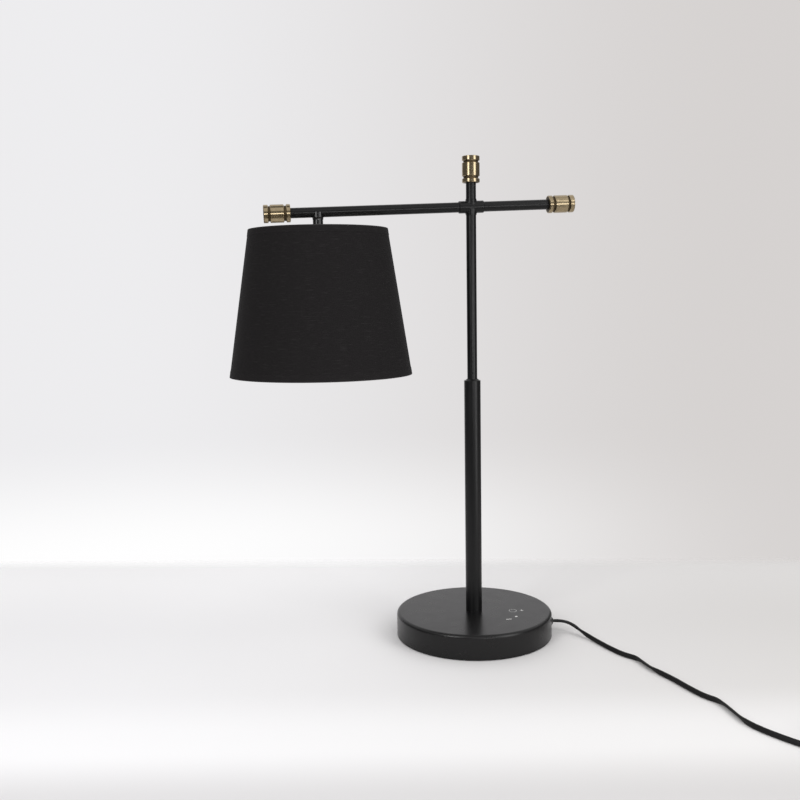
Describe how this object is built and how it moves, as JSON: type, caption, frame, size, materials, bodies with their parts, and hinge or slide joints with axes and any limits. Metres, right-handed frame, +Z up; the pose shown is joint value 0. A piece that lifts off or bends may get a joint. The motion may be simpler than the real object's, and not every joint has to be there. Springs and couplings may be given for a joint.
{
  "type": "desk lamp",
  "caption": "Desk lamp with a weighted round base, a sliding and turning two-stage stem, and a cross arm carrying a fabric shade against a brass counterweight.",
  "frame": {"origin": "centre of the base's underside, on the surface that the lamp stands on", "axes": "+Z up along the stem; the long arm with the shade points along -X, the short arm with the counterweight along +X"},
  "size_m": [0.6616, 0.5221, 0.584],
  "materials": {
    "black_metal": "satin black powder coat",
    "gloss_black_metal": "semi-gloss black lacquer",
    "antique_brass": "antique brass, satin lacquer",
    "cast_weight": "as cast",
    "zinc_steel": "zinc plated",
    "foam_pad": "matt black foam rubber",
    "module_plastic": "natural nylon",
    "electrode_brass": "bright",
    "lead_sleeve": "black PVC sleeve",
    "cord_rubber": "matt black PVC",
    "plug_plastic": "fine-grained black",
    "pin_metal": "nickel plated",
    "holder_plastic": "black thermoplastic",
    "wire_black": "black lacquered wire",
    "shade_fabric": "black slubbed fabric on card",
    "lamp_cap_metal": "bright",
    "lamp_glass": "opal glass"
  },
  "bodies": {
    "stand": {"base_cover": "black_metal", "base_weight": "cast_weight", "base_plate": "zinc_steel", "base_pad": "foam_pad", "plate_screws": "zinc_steel", "dimmer_module": "module_plastic", "touch_electrode": "electrode_brass", "dimmer_lead": "lead_sleeve", "terminal_block": "module_plastic", "cord_clamp": "zinc_steel", "clamp_screws": "zinc_steel", "cord_grommet": "cord_rubber", "cord_tail": "cord_rubber", "stem_nipple": "zinc_steel", "stem_washer": "zinc_steel", "stem_nut": "zinc_steel", "stem_foot": "black_metal", "lower_tube": "black_metal", "gland_cap": "black_metal", "friction_bush": "module_plastic", "lead_base": "lead_sleeve", "lead_slack": "lead_sleeve", "mains_cord": "cord_rubber", "cord_coil": "cord_rubber", "plug_lead": "cord_rubber", "plug_body": "plug_plastic", "plug_pins": "pin_metal"},
    "stem_guide": {"guide_bush": "module_plastic"},
    "mast": {"guide_clips": "zinc_steel", "upper_tube": "black_metal", "cross_fitting": "black_metal", "front_arm_tube": "black_metal", "rear_arm_tube": "black_metal", "front_knob": "antique_brass", "counterweight_knob": "antique_brass", "top_knob": "antique_brass", "knob_studs": "zinc_steel", "drop_stem": "gloss_black_metal", "holder_cap": "holder_plastic", "holder_body": "holder_plastic", "shade_clamp_ring": "holder_plastic", "shade_spider": "wire_black", "shade_top_ring": "wire_black", "shade_bottom_ring": "wire_black", "shade_skin": "shade_fabric", "bulb_cap": "lamp_cap_metal", "bulb_globe": "lamp_glass", "lead_arm": "lead_sleeve"}
  },
  "joints": [
    {"name": "stem_height", "type": "slide", "parent": "stand", "child": "stem_guide", "axis": [0, 0, 1], "range_m": [-0.15, 0], "deforming": ["lead_slack"]},
    {"name": "stem_swivel", "type": "hinge", "parent": "stem_guide", "child": "mast", "pos_m": [0, 0, 0.278], "axis": [0, 0, 1], "range_deg": [-170, 170]}
  ]
}
